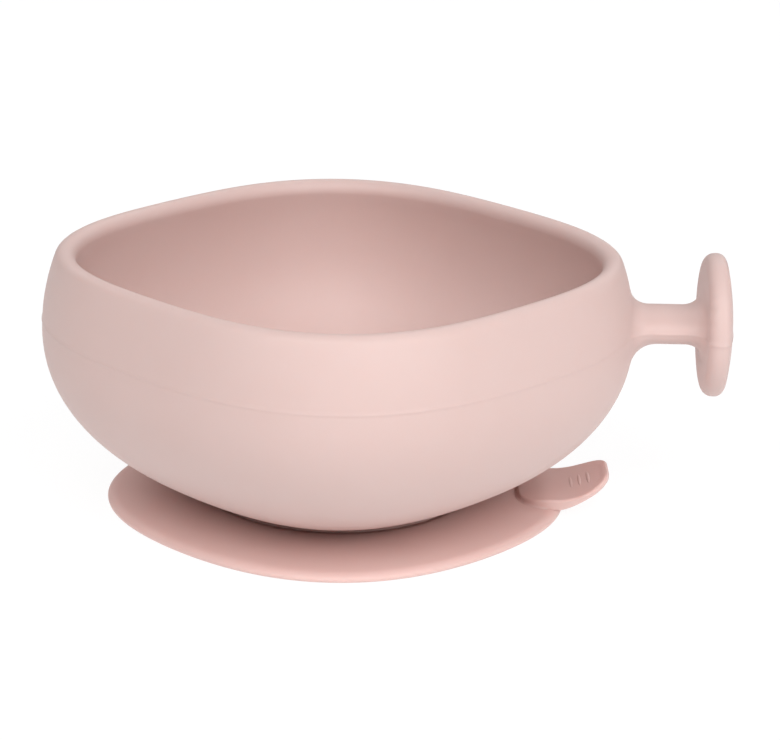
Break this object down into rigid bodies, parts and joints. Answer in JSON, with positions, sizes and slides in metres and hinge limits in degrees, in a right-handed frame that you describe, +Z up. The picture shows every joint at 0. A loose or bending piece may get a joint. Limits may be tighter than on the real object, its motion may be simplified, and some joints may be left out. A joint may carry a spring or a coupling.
{
  "type": "suction bowl",
  "caption": "Rounded-diamond silicone feeding bowl with a T-shaped side handle, on a flat suction cup with a release tab.",
  "frame": {"origin": "centre of the ring that seals on the table, under the middle of the bowl, at table level", "axes": "+Z up, +X from the bowl's middle out along the handle and the release tab, +Y to the left when looking along the handle from the bowl"},
  "size_m": [0.1515, 0.13, 0.0578],
  "materials": {
    "bowl_silicone": "matte",
    "base_silicone": "matte"
  },
  "bodies": {
    "base": {"suction_skirt": "base_silicone", "cup_web": "base_silicone"},
    "bowl": {"bowl_shell": "bowl_silicone", "handle_stem": "bowl_silicone", "handle_grip": "bowl_silicone", "neck_plug": "bowl_silicone"},
    "tab": {"peel_edge": "base_silicone", "release_tab": "base_silicone"}
  },
  "joints": [
    {"name": "suction_press", "type": "slide", "parent": "base", "child": "bowl", "axis": [0, 0, -1], "range_m": [0, 0.0015], "stiffness_N_per_m": 12000, "deforming": ["cup_web"]},
    {"name": "tab_lift", "type": "hinge", "parent": "base", "child": "tab", "pos_m": [0.04, 0, 0.00245], "axis": [0, -1, 0], "range_deg": [0, 25], "stiffness_Nm_per_rad": 0.2}
  ]
}
